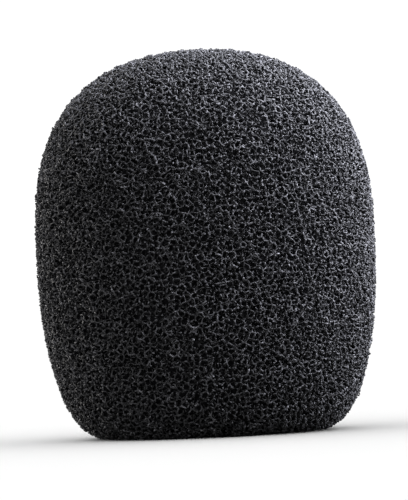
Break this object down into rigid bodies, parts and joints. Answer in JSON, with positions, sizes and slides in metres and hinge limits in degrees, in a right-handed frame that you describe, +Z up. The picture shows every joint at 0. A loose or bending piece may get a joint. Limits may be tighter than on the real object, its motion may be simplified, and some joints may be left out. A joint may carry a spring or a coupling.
{
  "type": "foam microphone windscreen",
  "caption": "Slip-on open-cell foam windscreen for a hand-held microphone: domed top, tapered flank, flat base with a narrow mouth into a blind cavity.",
  "frame": {"origin": "centre of the mouth, in the plane of the flat base", "axes": "+Z up along the axis of revolution, from the mouth to the crown of the dome; X and Y are arbitrary, as the body is round"},
  "size_m": [0.06, 0.06, 0.0682],
  "materials": {
    "foam": "matte black open-cell polyurethane foam"
  },
  "bodies": {
    "root": {"foam_body": "foam"}
  },
  "joints": []
}
